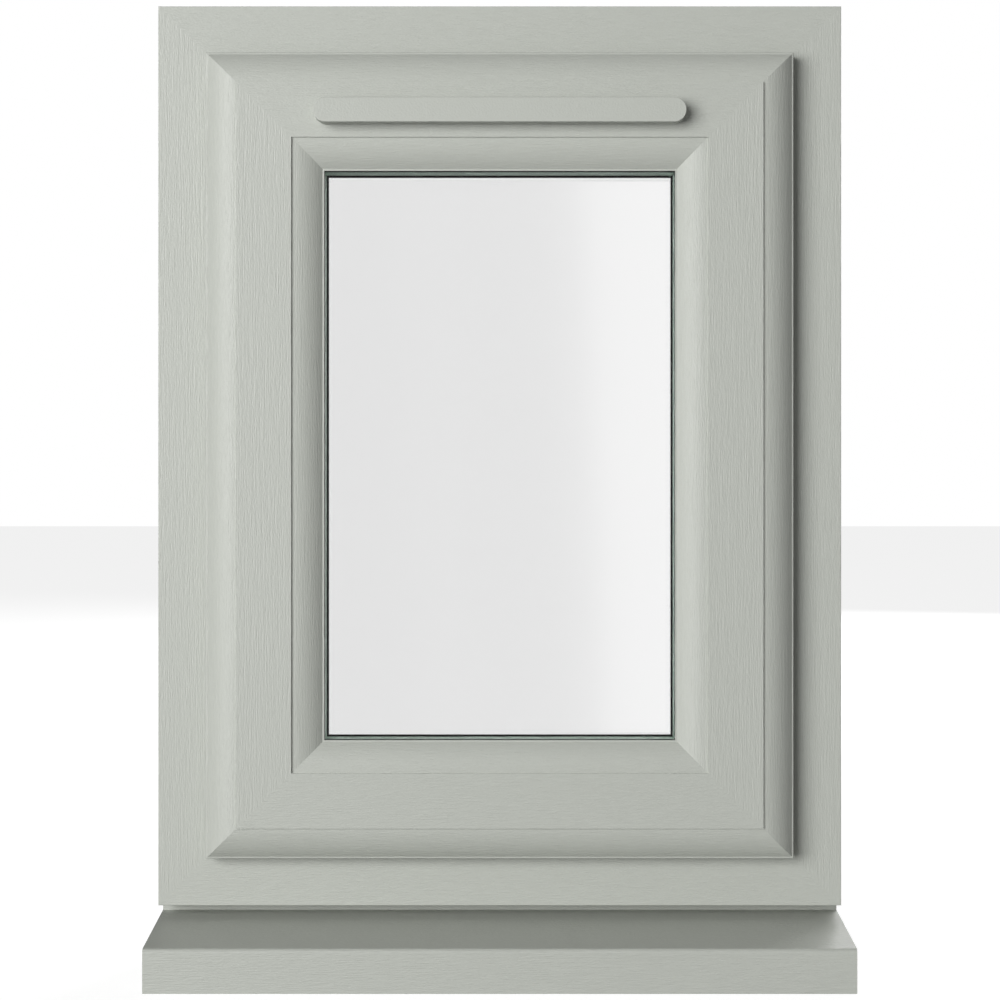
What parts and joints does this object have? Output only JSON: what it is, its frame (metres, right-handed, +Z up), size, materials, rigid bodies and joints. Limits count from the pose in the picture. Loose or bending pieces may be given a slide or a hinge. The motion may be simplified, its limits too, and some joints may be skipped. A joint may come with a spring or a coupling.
{
  "type": "top-hung casement window with trickle vent and cill",
  "caption": "Small top-hung plastic casement window in grey woodgrain foil, double glazed, with a sculptured sash, a trickle vent canopy and a projecting cill.",
  "frame": {"origin": "middle of the cill's underside, which lies on the wall", "axes": "+Z up, -Y towards the outside, +X to the right seen from outside"},
  "size_m": [0.48, 0.171, 0.6785],
  "materials": {
    "grey_foil": "fine woodgrain foil, satin",
    "grey_plastic": "fine moulded texture, satin",
    "grey_metal": "powder coated, satin",
    "glass": "clear float glass",
    "spacer": "satin",
    "black_rubber": "matt"
  },
  "bodies": {
    "root": {"frame_left_jamb": "grey_foil", "frame_right_jamb": "grey_foil", "frame_head": "grey_foil", "frame_bottom_rail": "grey_foil", "sash_left_stile": "grey_foil", "sash_right_stile": "grey_foil", "sash_top_rail": "grey_foil", "sash_bottom_rail": "grey_foil", "bead_left": "grey_foil", "bead_right": "grey_foil", "bead_top": "grey_foil", "bead_bottom": "grey_foil", "cill": "grey_foil", "cill_left_cap": "grey_plastic", "cill_right_cap": "grey_plastic", "vent_canopy": "grey_plastic", "vent_housing": "grey_plastic", "vent_flap": "grey_plastic", "handle_base": "grey_metal", "handle_lever": "grey_metal", "outer_pane": "glass", "inner_pane": "glass", "spacer_bar": "spacer", "edge_seal": "black_rubber", "glazing_gasket": "black_rubber", "bead_gasket": "black_rubber", "outer_weather_seal": "black_rubber", "inner_weather_seal": "black_rubber"}
  },
  "joints": []
}
